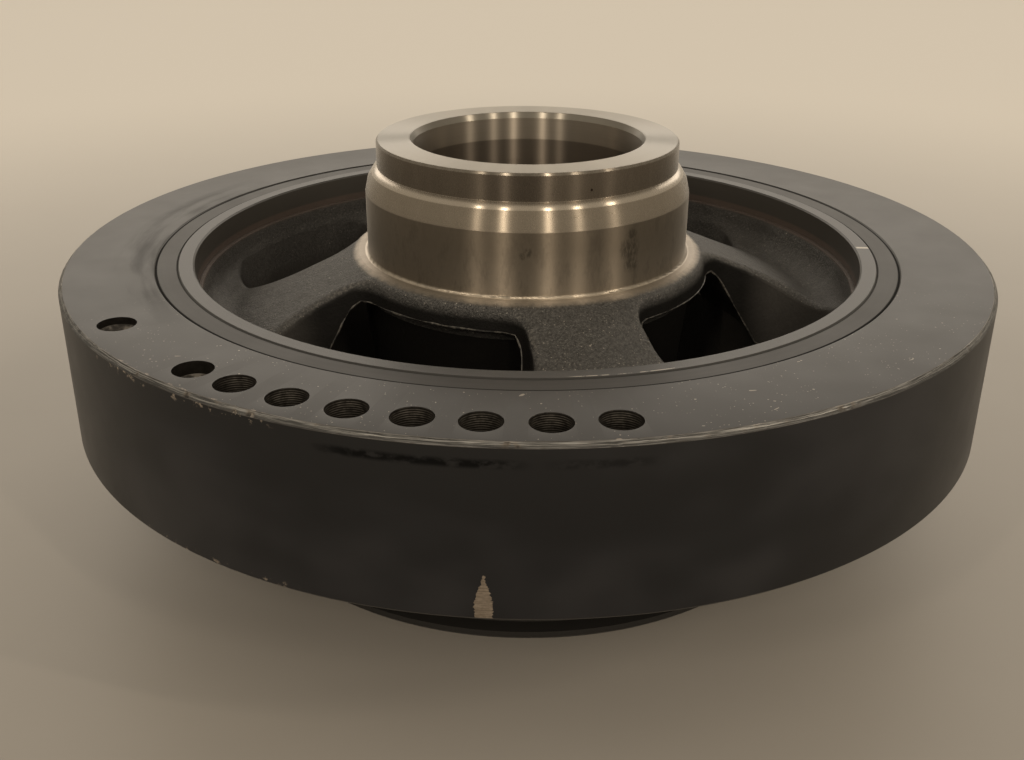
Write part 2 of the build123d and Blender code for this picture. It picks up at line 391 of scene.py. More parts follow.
def pick(obj, wanted, kind="verts"):
    """Selects the vertices, edges or faces for which wanted(element) holds, and nothing else."""
    bpy.ops.mesh.select_all(action="DESELECT")
    bpy.ops.mesh.select_mode(type={"verts": "VERT", "edges": "EDGE", "faces": "FACE"}[kind])
    mesh = bmesh.from_edit_mesh(obj.data)
    for element in getattr(mesh, kind):
        if wanted(element):
            element.select_set(True)
    mesh.select_flush_mode()
    bmesh.update_edit_mesh(obj.data)


def near(value, goal):
    return abs(value - goal) < 0.01 * MM


def middle(edge):
    return (edge.verts[0].co + edge.verts[1].co) / 2


def apply_modifier(obj, kind, **settings):
    activate(obj)
    modifier = obj.modifiers.new(kind.lower(), kind)
    for name, value in settings.items():
        setattr(modifier, name, value)
    bpy.ops.object.modifier_apply(modifier=modifier.name)


def rough_texture(name, size, depth):
    """Cloud texture for a displacement, whose bumps are about size across."""
    texture = bpy.data.textures.new(name, "CLOUDS")
    texture.noise_scale = size
    texture.noise_depth = depth
    return texture


def close_up(obj):
    """Merges doubled vertices and turns the faces outward."""
    bpy.ops.mesh.select_all(action="SELECT")
    bpy.ops.mesh.remove_doubles(threshold=0.002 * MM)
    bpy.ops.mesh.normals_make_consistent(inside=False)
    bpy.ops.object.mode_set(mode="OBJECT")


# ---------------------------------------------------------------- inertia ring
def on_upper_chamfer(edge):
    """True for the edge of the section that becomes the ring's upper chamfer."""
    return middle(edge).x > RING_RADIUS - 0.62 * MM and middle(edge).z > RING_TOP - 0.62 * MM


def model_ring():
    """The ring's section, with its corners cut, spun round the axis."""
    deselect()
    bpy.ops.mesh.primitive_plane_add(size=1)
    ring = bpy.context.object
    ring.name = "inertia_ring_worn"
    edit(ring)
    bpy.ops.mesh.select_all(action="SELECT")
    bpy.ops.transform.rotate(value=pi / 2, orient_axis="X", center_override=(0, 0, 0))
    bpy.ops.transform.resize(value=(RING_RADIUS - RING_BORE_RADIUS, 1, RING_TOP - RING_BOTTOM),
                             center_override=(0, 0, 0))
    mid_height = (RING_TOP + RING_BOTTOM) / 2
    bpy.ops.transform.translate(value=((RING_RADIUS + RING_BORE_RADIUS) / 2, 0, mid_height))

    # crest of the joint, in the middle of the bore
    pick(ring, lambda e: near(middle(e).x, RING_BORE_RADIUS), "edges")
    bpy.ops.mesh.subdivide(number_cuts=1)
    pick(ring, lambda v: near(v.co.x, RING_BORE_RADIUS) and near(v.co.z, mid_height))
    bpy.ops.transform.translate(value=(JOINT_CREST, 0, 0))

    # broken corners at the bore, chamfered ones outside, whose own corners are slightly rounded
    pick(ring, lambda v: v.co.x < RING_BORE_RADIUS + 0.5 * MM and not near(v.co.z, mid_height))
    bpy.ops.mesh.bevel(offset=JOINT_EDGE_BREAK, segments=1, affect="VERTICES")
    pick(ring, lambda v: near(v.co.x, RING_RADIUS))
    bpy.ops.mesh.bevel(offset=RING_CHAMFER, segments=1, affect="VERTICES")
    pick(ring, lambda v: v.co.x > RING_RADIUS - RING_CHAMFER - 0.01 * MM)
    bpy.ops.mesh.bevel(offset=CHAMFER_CORNER, segments=3, affect="VERTICES")

    # three cuts along the upper chamfer, for its wear
    pick(ring, on_upper_chamfer, "edges")
    bpy.ops.mesh.subdivide(number_cuts=3)

    bpy.ops.mesh.select_all(action="SELECT")
    bpy.ops.mesh.delete(type="ONLY_FACE")
    bpy.ops.mesh.select_all(action="SELECT")
    bpy.ops.mesh.spin(steps=RING_STEPS, angle=2 * pi, center=(0, 0, 0), axis=(0, 0, 1))
    close_up(ring)
    return ring


def wear_edge(ring):
    """Nicks and dents along the ring's upper chamfer, deepest where it was knocked."""
    group = ring.vertex_groups.new(name="upper_edge")
    reach = RING_CHAMFER + 0.02 * MM
    for vertex in ring.data.vertices:
        x, y, z = vertex.co
        if z > RING_TOP - reach and hypot(x, y) > RING_RADIUS - reach:
            angle = degrees(atan2(x, -y))
            weight = EVEN_WEAR
            for centre, half_width in EDGE_KNOCKS:
                weight += (1 - EVEN_WEAR) * max(0, 1 - abs(angle - centre) / half_width)
            group.add([vertex.index], min(weight, 1), "REPLACE")
    apply_modifier(ring, "DISPLACE", texture=rough_texture("edge_nicks", 1.6 * MM, 3), mid_level=0.62,
                   vertex_group="upper_edge", strength=WEAR_DEPTH, texture_coords="LOCAL")

    # the wear only takes metal away, so nothing stands out past the ring's own faces
    for vertex in ring.data.vertices:
        vertex.co.z = min(vertex.co.z, RING_TOP)
        radius = hypot(vertex.co.x, vertex.co.y)
        if radius > RING_RADIUS:
            vertex.co.x *= RING_RADIUS / radius
            vertex.co.y *= RING_RADIUS / radius


def model_drill(name, depth):
    """The shape that a drill leaves: a ridged cylinder with a pointed end, cutting down from the origin."""
    deselect()
    turns = max(2, round(depth / DRILL_FEED))
    height = depth + DRILL_HEADROOM
    bpy.ops.mesh.primitive_cylinder_add(vertices=HOLE_SIDES, radius=HOLE_RADIUS, depth=height,
                                        end_fill_type="NGON", location=(0, 0, 0))
    drill = bpy.context.object
    drill.name = name
    edit(drill)
    bpy.ops.mesh.select_all(action="SELECT")
    bpy.ops.transform.translate(value=(0, 0, height / 2 - depth))
    pick(drill, lambda e: near(middle(e).z, height / 2 - depth), "edges")
    bpy.ops.mesh.subdivide(number_cuts=2 * turns - 1)

    # every other loop is narrower, so that it leaves a feed ridge in the hole
    pitch = height / (2 * turns)
    pick(drill, lambda v: round((v.co.z + depth) / pitch) % 2 == 1 and v.co.z < -0.3 * MM)
    narrowing = (HOLE_RADIUS - RIDGE_HEIGHT) / HOLE_RADIUS
    bpy.ops.transform.resize(value=(narrowing, narrowing, 1), center_override=(0, 0, 0))

    # pointed end
    pick(drill, lambda f: f.normal.z < -0.9 and len(f.verts) > 4, "faces")
    bpy.ops.mesh.extrude_region_move(
        TRANSFORM_OT_translate={"value": (0, 0, -HOLE_RADIUS / tan(DRILL_POINT_HALF_ANGLE))})
    bpy.ops.mesh.merge(type="CENTER")
    close_up(drill)
    return drill


def drill_holes(ring):
    """Cuts the balance holes; each drill is a copy, moved to its place in its own mesh."""
    places = [(angle, DEEP_HOLE_DEPTH) for angle in DEEP_HOLE_ANGLES] + SHALLOW_HOLES
    patterns = {}
    for number, (angle, depth) in enumerate(places):
        if depth not in patterns:
            patterns[depth] = model_drill(f"drill_{number}", depth)
        drill = patterns[depth].copy()
        drill.data = patterns[depth].data.copy()
        bpy.context.scene.collection.objects.link(drill)
        place = Vector((BALANCE_CIRCLE * sin(angle), -BALANCE_CIRCLE * cos(angle), RING_TOP))
        drill.data.transform(Matrix.Translation(place))
        apply_modifier(ring, "BOOLEAN", operation="DIFFERENCE", object=drill, solver="EXACT")
        bpy.data.objects.remove(drill)
    for pattern in patterns.values():
        bpy.data.objects.remove(pattern)


# ---------------------------------------------------------------- casting flash
def carries_flash(edge):
    """True for a sharp edge low in a window, on the hub's side of the trough."""
    point = middle(edge)
    in_reach = 41.5 * MM < hypot(point.x, point.y) < 59.9 * MM and 39.5 * MM < point.z < 60.4 * MM
    return in_reach and len(edge.link_faces) == 2 and edge.calc_face_angle(0) > FLASH_EDGE_ANGLE


def model_flash(hub):
    """Ragged flash along the windows' lower edges, laid on the hub's own edges."""
    copy = bpy.data.objects.new("window_flash", hub.data.copy())
    bpy.context.scene.collection.objects.link(copy)
    edit(copy)
    bpy.ops.mesh.select_all(action="SELECT")
    bpy.ops.mesh.remove_doubles(threshold=0.002 * MM)
    pick(copy, lambda e: not carries_flash(e), "edges")
    bpy.ops.mesh.delete(type="EDGE")
    bpy.ops.mesh.select_all(action="SELECT")
    bpy.ops.mesh.remove_doubles(threshold=0.05 * MM)
    bpy.ops.object.mode_set(mode="OBJECT")
    activate(copy)
    bpy.ops.object.convert(target="CURVE")
    flash = bpy.context.object
    flash.data.bevel_depth = FLASH_RADIUS
    flash.data.bevel_resolution = 1
    flash.data.use_fill_caps = True
    bpy.ops.object.convert(target="MESH")
    flash = bpy.context.object
    apply_modifier(flash, "DISPLACE", texture=rough_texture("flash_burr", 1.3 * MM, 4), mid_level=0.55,
                   strength=0.7 * MM, texture_coords="LOCAL")
    return flash


# ---------------------------------------------------------------- finish of the inertia ring
PAINT_GLOSS = 0.28                            # specular level of the satin black paint
FACE_BLACKS = (0.010, 0.0092, 0.0084), (0.016, 0.0146, 0.0132)
SIDE_BLACK = (0.0115, 0.0116, 0.0132)
SIDE_DARK_CLOUD = (0.0070, 0.0071, 0.0080)
SIDE_PALE_CLOUD = (0.0170, 0.0168, 0.0185)
RUBBER_SMEAR = (0.006, 0.0055, 0.005)
TAR = (0.002, 0.002, 0.002)
PALE_DUST = (0.32, 0.285, 0.24)

BARE_STEELS = (0.20, 0.165, 0.13), (0.50, 0.43, 0.36)
TOOL_LINE = (0.15, 0.12, 0.09)
WORN_LINES = (0.06, 0.0585, 0.0565), (0.30, 0.294, 0.283)
# near-black steel on the holes' walls, mottled
HOLE_WALL_DARKS = (0.012, 0.011, 0.010), (0.055, 0.049, 0.043)
# painted glints on the drill's feed ridges
DRILL_RIDGE_GLINT = (0.17, 0.155, 0.135)
HOLE_FLOORS = (0.06, 0.055, 0.05), (0.27, 0.248, 0.222)


def edge_wear(f, around, lines):
    """Worn chamfer: fine parallel lines, bright in front and in traces elsewhere. Gives it and its face."""
    corner = RING_RADIUS + RING_TOP
    on_chamfer = f.times(f.step(f.add(f.radius, f.z), corner - 1.0 * MM, corner - 0.86 * MM),
                         f.step(f.z, RING_TOP - 0.98 * MM, RING_TOP - 0.84 * MM))
    ragged = f.noise(0.9 * MM, detail=6, roughness=0.7, where=around, stretch=(0.35, 1, 1))
    broad = f.noise(9 * MM, detail=3, where=around)
    front = f.most(f.times(f.sector(-56, 78, 34), 0.30), f.times(f.sector(-140, 140, 50), 0.13))
    upper_half = f.add(0.35, f.times(f.step(f.z, RING_TOP - 0.62 * MM, RING_TOP - 0.4 * MM), 0.65))
    amount = f.add(ragged, f.times(broad, 0.25), f.times(lines, 0.3), front)
    wear = f.times(on_chamfer, upper_half, f.step(amount, 0.82, 1.02))
    small_chip = f.times(f.spot(8.2, RING_RADIUS - 0.4 * MM, RING_TOP, 0.7 * MM, 0.3),
                         f.step(ragged, 0.44, 0.5))
    return wear, small_chip, on_chamfer


def paint_chips(f, around):
    """Chips through the paint at the left, above and below."""
    chip_noise = f.noise(1.8 * MM, detail=5, roughness=0.65, where=around)
    upper = f.times(f.sector(-49, -24, 5), f.step(f.z, RING_TOP - 2.6 * MM, RING_TOP - 0.8 * MM),
                    f.step(f.radius, RING_RADIUS - 1.6 * MM, RING_RADIUS - 0.7 * MM))
    lower = f.times(f.sector(-43, -22, 5), f.step(f.z, RING_BOTTOM + 2.2 * MM, RING_BOTTOM + 0.5 * MM))
    return f.times(f.most(upper, lower), f.step(chip_noise, 0.56, 0.62))


def side_scrape(f, around):
    """Bare scrape at the foot of the side, pointed at its upper end."""
    across = f.math("ABSOLUTE", f.math("MULTIPLY", f.add(f.angle, radians(3.6)), RING_RADIUS))
    half_width = f.times(f.step(f.z, RING_BOTTOM + 10.6 * MM, RING_BOTTOM + 3.2 * MM), 1.6 * MM)
    ripple = f.noise(0.8 * MM, detail=5, where=around, stretch=(0.6, 1.4, 1))
    ripple = f.times(f.add(ripple, -0.5), 1.5 * MM)
    return f.times(f.math("LESS_THAN", f.add(across, ripple), half_width),
                   f.step(f.z, RING_BOTTOM + 9.8 * MM, RING_BOTTOM + 9.3 * MM))


def face_dust(f):
    """Fine dust in patches, coarser specks all over and short scratches, in front."""
    patches = f.step(f.noise(10 * MM, detail=3), 0.4, 0.56)
    fine = f.times(f.specks(0.7 * MM, 0.15 * MM, 0.38), patches)
    coarse = f.specks(2.2 * MM, 0.24 * MM, 0.45)
    scratches = f.specks(2.2 * MM, 0.32 * MM, 0.22, where=f.stretched_dust())
    return f.times(f.sector(-55, 65, 30), f.most(fine, coarse, scratches))


def tar_smudges(f, around):
    """A row of black smudges under the upper edge, in front."""
    row = f.noise(1.5 * MM, detail=5, where=around, stretch=(0.55, 0.8, 1))
    return f.times(f.step(row, 0.36, 0.56), f.band(f.z, RING_TOP - 4.6 * MM, RING_TOP - 3.1 * MM, 1 * MM),
                   f.most(f.sector(-18, -1, 5), f.times(f.sector(3, 11, 4), 0.5)))


def drilled_steel(f, grime):
    """Dark steel between feed ridges painted with bright glints in the deep holes, duller floors in the
    shallow ones.
    """
    # painted glints: bright stripes on the feed ridges, in front and near the top of the holes
    ridge_glint = f.math("SINE", f.math("MULTIPLY", f.math("SUBTRACT", RING_TOP, f.z), 2 * pi / DRILL_FEED))
    ridge_glint = f.times(f.step(ridge_glint, -0.4, 0.9), f.step(f.noise(1.1 * MM, detail=3), 0.2, 0.7),
                    f.sector(-33, 12, 3), f.step(f.z, RING_TOP - 7 * MM, RING_TOP - 1 * MM))
    wall = f.mix(ridge_glint, f.mix(grime, *HOLE_WALL_DARKS), DRILL_RIDGE_GLINT)
    floor = f.mix(f.step(f.noise(2.4 * MM, detail=3), 0.40, 0.66), *HOLE_FLOORS)
    upright = f.facing()[1]
    return f.mix(f.step(upright, 0.35, 0.5), wall, floor)


def ring_paint():
    """Satin black paint on the ring, worn to bare metal along the upper chamfer."""
    f = Finish("ring_satin_paint")
    around = f.around()
    mottle = f.noise(11 * MM, detail=5)
    lines = f.noise(0.13 * MM, detail=3, roughness=0.7, where=around, stretch=(0.012, 1, 0))
    on_face = f.times(f.step(f.z, RING_TOP - 0.12 * MM, RING_TOP - 0.02 * MM),
                      f.step(f.radius, RING_RADIUS - 0.9 * MM, RING_RADIUS - 1.2 * MM))
    on_side = f.step(f.radius, RING_RADIUS - 0.2 * MM, RING_RADIUS - 0.05 * MM)
    in_hole = f.times(f.step(f.z, RING_TOP - 0.04 * MM, RING_TOP - 0.1 * MM),
                      f.step(f.z, RING_BOTTOM + 8 * MM, RING_BOTTOM + 9 * MM),
                      f.band(f.radius, RING_BORE_RADIUS + 2 * MM, RING_RADIUS - 2 * MM, 0.5 * MM))

    wear, small_chip, on_chamfer = edge_wear(f, around, lines)
    scrape = f.times(on_side, side_scrape(f, around))
    bare = f.most(wear, f.times(f.most(paint_chips(f, around), small_chip), 0.9), scrape)
    side_specks = f.times(on_side, f.specks(9 * MM, 0.28 * MM, 0.3))
    dust = f.most(f.times(on_face, face_dust(f)), side_specks)
    smudge = f.times(on_side, tar_smudges(f, around))

    # rubber smears and a dull patch on the left of the face
    swirl = f.noise(5 * MM, detail=4, where=around, stretch=(0.12, 1, 1))
    smear_band = f.times(f.sector(-118, -58, 26), f.band(f.radius, 86.5 * MM, 96 * MM, 3.5 * MM))
    smear = f.times(on_face, smear_band, f.step(swirl, 0.40, 0.66), 0.85)

    # paint, slightly clouded on the side
    cloud = f.noise(24 * MM, detail=2, where=around, stretch=(0.7, 1, 1))
    colour = f.mix(mottle, *FACE_BLACKS)
    colour = f.mix(on_side, colour, SIDE_BLACK)
    colour = f.mix(f.times(on_side, f.step(cloud, 0.62, 0.40)), colour, SIDE_DARK_CLOUD)
    colour = f.mix(f.times(on_side, f.step(cloud, 0.52, 0.70)), colour, SIDE_PALE_CLOUD)
    colour = f.mix(smear, colour, RUBBER_SMEAR)

    # bare metal, with the tool's lines in the scrape
    metal = f.mix(f.noise(0.6 * MM, detail=3, where=around), *BARE_STEELS)
    tool_lines = f.noise(0.3 * MM, detail=3, where=around, stretch=(0.05, 1, 0))
    metal = f.mix(f.times(scrape, f.step(tool_lines, 0.4, 0.6), 0.5), metal, TOOL_LINE)
    metal = f.mix(on_chamfer, metal, f.mix(f.step(lines, 0.42, 0.62), *WORN_LINES))
    grime = f.noise(1.6 * MM, detail=4)
    colour = f.mix(bare, colour, metal)
    colour = f.mix(in_hole, colour, drilled_steel(f, grime))
    colour = f.mix(f.times(dust, 0.62), colour, PALE_DUST)

    rough = f.add(0.37, f.times(f.add(mottle, -0.5), 0.12), f.times(smear, 0.14))
    rough = f.mix(bare, rough, 0.42)
    rough = f.mix(in_hole, rough, f.mix(grime, 0.26, 0.4))
    fine = f.noise(0.35 * MM, detail=3, where=around)
    height = f.add(f.times(f.turning_marks(0.45 * MM), 0.55), f.times(fine, 0.25), f.times(bare, -0.8))
    paint = f.surface(colour, f.times(f.most(bare, in_hole), 0.8), rough, f.bump(height, 0.02 * MM, 0.7),
                      Specular_IOR_Level=PAINT_GLOSS)
    tar = f.surface(TAR, 0.0, 0.6, Specular_IOR_Level=0.05)
    return f.finish(f.blend(f.times(smudge, 0.9), paint, tar))


# ---------------------------------------------------------------- finish of the hub
CAST_BLACKS = (0.016, 0.0152, 0.0143), (0.074, 0.0715, 0.068)
GRAIN_PALE = (0.16, 0.154, 0.146)
GRAIN_DARK = (0.010, 0.0092, 0.0084)
TURNED_BLACK = (0.014, 0.013, 0.012)
RIM_BORE_GREY = (0.045, 0.041, 0.036)
CAST_SPECK = (0.30, 0.275, 0.24)
# dust and a painted highlight on the windows' rounded edges
EDGE_DUST_AND_HIGHLIGHT = (0.16, 0.148, 0.13)
LEDGE_RUST = (0.085, 0.062, 0.052)
SCRATCH = (0.5, 0.46, 0.4)
# painted shade: near-black tones for the windows' walls, under the ledge and low in the cavity
DEEP_PAINTED_SHADES = (0.003, 0.0028, 0.0026), (0.008, 0.0074, 0.0067)
OUTER_PAINTED_SHADES = (0.022, 0.0207, 0.0193), (0.052, 0.0487, 0.0455)

SEAL_LAND_STEELS = (0.175, 0.147, 0.113), (0.29, 0.246, 0.195)
SEAL_LAND_FOOT = (0.40, 0.345, 0.28)
UPPER_LAND_STEELS = (0.14, 0.117, 0.094), (0.21, 0.18, 0.147)
# painted shade for the front of the upper land
UPPER_LAND_SHADED_FRONT = (0.075, 0.063, 0.053)
TAPER_STEELS = (0.29, 0.25, 0.20), (0.35, 0.305, 0.25)
# painted highlight for the shoulder
SHOULDER_HIGHLIGHT = (0.52, 0.46, 0.385)
BORE_STEELS = (0.20, 0.17, 0.14), (0.42, 0.37, 0.31)
TOP_STEELS = (0.31, 0.287, 0.247), (0.36, 0.333, 0.288)
# painted shade for the sides of the nose's top
TOP_SHADED_SIDES = (0.235, 0.217, 0.187)
FLANGE_STEELS = (0.30, 0.257, 0.205), (0.46, 0.395, 0.32)
# painted highlight for the fillet at the nose's foot
FILLET_HIGHLIGHT = (0.72, 0.64, 0.53)
TURNING_SHADE = (0.12, 0.105, 0.085)
OLD_STAIN = (0.05, 0.043, 0.035)
BLOTCH = (0.09, 0.076, 0.06)
PIT = (0.03, 0.02, 0.015)

# stains on the seal land: angle from the front, height, size and blur
OLD_MARKS = ((35.5, 75 * MM, 1.3 * MM, 1.6), (36.3, 78.3 * MM, 0.6 * MM, 2.0),
             (36.6, 71.5 * MM, 0.9 * MM, 1.6), (0.4, 76.2 * MM, 0.5 * MM, 1.6),
             (-1.2, 75.4 * MM, 0.4 * MM, 1.6))


def rough_casting(f, upright, sand, lumps, grain):
    """Black paint on the rough casting, lighter on the spokes, and on the turned rim and pulley."""
    marks = f.turning_marks(0.22 * MM)
    turned = f.most(f.step(f.radius, RIM_BORE_RADIUS - 0.3 * MM, RIM_BORE_RADIUS - 0.1 * MM),
                    f.step(f.z, PULLEY_TOP + 0.5 * MM, PULLEY_TOP - 0.1 * MM))
    black = f.mix(f.step(sand, 0.3, 0.7), *CAST_BLACKS)
    black = f.mix(f.times(f.step(grain, 0.56, 0.68), 0.55), black, GRAIN_PALE)
    black = f.mix(f.times(f.step(grain, 0.46, 0.36), 0.6), black, GRAIN_DARK)
    black = f.mix(turned, black, TURNED_BLACK)
    rim_bore = f.times(f.band(f.radius, RIM_BORE_RADIUS - 0.4 * MM, RIM_BORE_RADIUS + 0.4 * MM, 0.2 * MM),
                       f.step(f.z, RING_TOP - 0.1 * MM, RING_TOP - 0.4 * MM))
    black = f.mix(rim_bore, black, RIM_BORE_GREY)

    # bright specks, dust and a painted highlight on the windows' rounded edges, rust on the ledge
    specks = f.most(f.specks(0.5 * MM, 0.14 * MM, 0.35), f.specks(1.6 * MM, 0.22 * MM, 0.4))
    specks = f.times(specks, f.rest_of(turned), f.step(lumps, 0.35, 0.6), 0.9)
    black = f.mix(specks, black, CAST_SPECK)
    edge_dust_and_highlight = f.times(f.band(upright, 0.5, 0.86, 0.15), f.step(sand, 0.48, 0.62),
                        f.step(f.radius, 58 * MM, 50 * MM),
                        f.step(f.radius, FLANGE_RADIUS + 1 * MM, FLANGE_RADIUS + 3 * MM), 0.5)
    black = f.mix(edge_dust_and_highlight, black, EDGE_DUST_AND_HIGHLIGHT)
    ledge = f.times(f.band(f.radius, CAST_WALL_RADIUS - 0.25 * MM, RIM_BORE_RADIUS + 0.05 * MM, 0.3 * MM),
                    f.band(f.z, LEDGE_HEIGHT - 0.4 * MM, LEDGE_HEIGHT + 1.6 * MM, 0.6 * MM))
    black = f.mix(f.times(ledge, 0.8), black, LEDGE_RUST)

    # a scratch and a nick in the rim's face
    on_rim_face = f.step(f.z, RING_TOP - 1 * MM, RING_TOP - 0.2 * MM)
    scratch = f.times(f.band(f.radius, 81.75 * MM, 81.95 * MM, 0.1 * MM), f.sector(6, 20, 2),
                      f.step(f.noise(2 * MM, detail=4), 0.42, 0.5))
    nick = f.times(f.band(f.radius, 79.4 * MM, 82.2 * MM, 0.4 * MM), f.sector(86.6, 87.4, 0.3))
    black = f.mix(f.times(f.most(scratch, nick), on_rim_face, 0.85), black, SCRATCH)

    rough = f.mix(turned, f.add(0.38, f.times(sand, 0.22)), 0.4)
    height = f.mix(turned, sand_height(f, sand, lumps, grain), f.times(marks, 0.06))
    return f.surface(black, 0.0, rough, f.bump(height, 0.7 * MM, 1.0), Specular_IOR_Level=0.5)


def sand_height(f, sand, lumps, grain):
    """Height of the rough casting's surface, for its bump."""
    return f.add(f.times(sand, 0.55), f.times(lumps, 0.9), f.times(grain, 0.22))


def window_painted_shade(f, upright, sand, lumps, grain):
    """Painted shade: near-black paint on the windows' steep walls, under the ledge and low in the cavity.
    Gives where and what.
    """
    in_window = f.times(f.step(f.radius, BORE_RADIUS + 1 * MM, BORE_RADIUS + 1.5 * MM),
                        f.step(f.z, FLANGE_HEIGHT - 2 * MM, FLANGE_HEIGHT - 4 * MM))
    steep = f.times(f.step(f.math("ABSOLUTE", upright), 0.62, 0.34), f.step(f.radius, 76 * MM, 74.5 * MM),
                    f.step(f.z, PULLEY_TOP - 1 * MM, PULLEY_TOP + 1 * MM))
    outer_edge = f.times(f.step(f.radius, 71.5 * MM, 73.5 * MM), f.window_sectors(),
                         f.step(f.z, LEDGE_HEIGHT + 0.1 * MM, LEDGE_HEIGHT - 0.3 * MM), 0.55)
    low = f.times(f.step(f.z, 52 * MM, 46 * MM), f.step(f.radius, 64 * MM, 62.5 * MM))
    tone = f.mix(f.step(f.radius, 53 * MM, 63 * MM), f.mix(sand, *DEEP_PAINTED_SHADES), f.mix(sand, *OUTER_PAINTED_SHADES))
    painted_shade_shader = f.surface(tone, 0.0, 0.5, f.bump(sand_height(f, sand, lumps, grain), 0.3 * MM, 0.6),
                     Specular_IOR_Level=0.12)
    return f.times(in_window, f.most(steep, outer_edge, low)), painted_shade_shader


def nose_normal(f, facing, taper, shoulder, chamfer, top, foot, in_bore, lead_in):
    """The exact normal of each turned face, worked out from its slope; the mesh's own at foot and floor."""
    slope = f.times(taper, TAPER_SLOPE)
    shoulder_slope = f.mix(f.step(f.z, TAPER_TOP, UPPER_LAND_END), *SHOULDER_SLOPES)
    slope = f.add(slope, f.times(shoulder, shoulder_slope))
    slope = f.mix(chamfer, slope, EDGE_BREAK_SLOPE)
    slope = f.mix(top, slope, TOP_SLOPE)
    slope = f.add(slope, f.times(lead_in, LEAD_IN_SLOPE))
    outward = f.times(f.math("COSINE", slope), f.mix(in_bore, 1.0, -1.0))
    sideways = f.vector("SCALE", f.vector("NORMALIZE", f.flat), Scale=outward)
    upward = f.node("ShaderNodeCombineXYZ", Z=f.math("SINE", slope)).outputs[0]
    own = f.most(foot, f.step(f.z, BORE_FLOOR + 1 * MM, BORE_FLOOR + 0.2 * MM))
    return f.mix(own, f.vector("ADD", sideways, upward), facing, kind="VECTOR")


def nose_steel(f, facing, sand):
    """Turned steel: each land of the nose has its own tone and its own slope, with painted highlights on the
    shoulder and the fillet and painted shade on parts of the upper land and the top.
    """
    marks = f.turning_marks(0.22 * MM)
    outside = f.step(f.radius, 31 * MM, 31.5 * MM)
    edge = UPPER_LAND_RADIUS + NOSE_TOP
    chamfer = f.times(outside, f.step(f.add(f.radius, f.z), edge - 0.62 * MM, edge - 0.38 * MM))
    top = f.times(f.step(f.z, NOSE_TOP - 0.12 * MM, NOSE_TOP - 0.03 * MM),
                  f.step(f.radius, BORE_RADIUS + 0.5 * MM, BORE_RADIUS + 0.7 * MM))
    shoulder = f.times(outside, f.band(f.z, TAPER_TOP, UPPER_LAND_END, 0.1 * MM))
    taper = f.times(outside, f.band(f.z, SEAL_LAND_TOP, TAPER_TOP, 0.1 * MM))
    foot = f.step(f.z, FLANGE_HEIGHT + 0.75 * MM, FLANGE_HEIGHT + 0.05 * MM)
    fillet = f.times(foot, f.band(f.radius, SEAL_LAND_RADIUS - 0.2 * MM, SEAL_LAND_RADIUS + 0.75 * MM,
                                  0.2 * MM))
    in_bore = f.step(f.radius, BORE_RADIUS + 1 * MM, BORE_RADIUS + 0.8 * MM)
    lead_in = f.times(in_bore, f.step(f.z, NOSE_TOP - 1.5 * MM, NOSE_TOP - 1.4 * MM))
    normal = nose_normal(f, facing, taper, shoulder, chamfer, top, foot, in_bore, lead_in)

    around = f.around()
    stain = f.noise(7 * MM, detail=5, where=around, stretch=(0.8, 0.8, 0.3))
    fine_stain = f.noise(1.3 * MM, detail=5, where=around)
    at_sides = f.step(f.math("ABSOLUTE", f.math("SINE", f.angle)), 0.6, 0.95)

    # tones of the faces, from the seal land up and into the bore
    lower_land = f.times(f.step(f.z, 78 * MM, 67 * MM), f.step(f.angle, radians(-45), radians(-10)), 0.55)
    seal_land = f.mix(lower_land, f.mix(stain, *SEAL_LAND_STEELS), SEAL_LAND_FOOT)
    # painted shade: the upper land is darker across its front
    upper_land = f.mix(f.times(f.sector(-13, 7, 9), 0.6), f.mix(stain, *UPPER_LAND_STEELS), UPPER_LAND_SHADED_FRONT)
    tone = f.mix(f.step(f.z, 85.6 * MM, 86.6 * MM), seal_land, upper_land)
    tone = f.mix(taper, tone, f.mix(stain, *TAPER_STEELS))
    # painted highlight: the shoulder's band is much brighter than the steel around it
    tone = f.mix(shoulder, tone, SHOULDER_HIGHLIGHT)
    tone = f.mix(in_bore, tone, f.mix(f.step(f.z, 85.4 * MM, 85.9 * MM), *BORE_STEELS))
    # painted shade: the top face is darker towards its left and right sides
    top_tone = f.mix(f.times(at_sides, 0.85), f.mix(stain, *TOP_STEELS), TOP_SHADED_SIDES)
    tone = f.mix(f.most(top, chamfer, lead_in), tone, top_tone)
    tone = f.mix(f.times(foot, f.rest_of(in_bore)), tone, f.mix(sand, *FLANGE_STEELS))
    # painted highlight along the foot's fillet, dimmed towards the sides
    tone = f.mix(f.times(fillet, f.math("MULTIPLY_ADD", at_sides, -0.6, 1.0)), tone, FILLET_HIGHLIGHT)

    # turning marks, stains, blotches and a small pit
    tone = f.mix(f.times(marks, 0.3), tone, TURNING_SHADE)
    old_marks = f.most(*[f.spot(angle, SEAL_LAND_RADIUS, *place) for angle, *place in OLD_MARKS])
    tone = f.mix(f.times(old_marks, f.step(fine_stain, 0.3, 0.6), 0.6), tone, OLD_STAIN)
    blotch = f.times(f.step(f.add(stain, f.times(fine_stain, 0.3)), 0.60, 0.86),
                     f.band(f.z, 66 * MM, SEAL_LAND_TOP, 1 * MM), 0.38)
    tone = f.mix(blotch, tone, BLOTCH)
    tone = f.mix(f.spot(22.6, UPPER_LAND_RADIUS, 88.4 * MM, 0.2 * MM, 0.5), tone, PIT)

    polish = f.mix(f.step(f.z, SEAL_LAND_TOP + 0.5 * MM, SEAL_LAND_TOP - 0.5 * MM),
                   f.add(0.25, f.times(fine_stain, 0.05)), f.add(0.37, f.times(fine_stain, 0.10)))
    polish = f.mix(in_bore, polish, 0.33)
    polish = f.mix(foot, f.mix(top, polish, 0.31), f.mix(fillet, 0.46, 0.36))
    return f.turned_metal(tone, polish, f.bump(marks, 0.003 * MM, 0.5, normal))


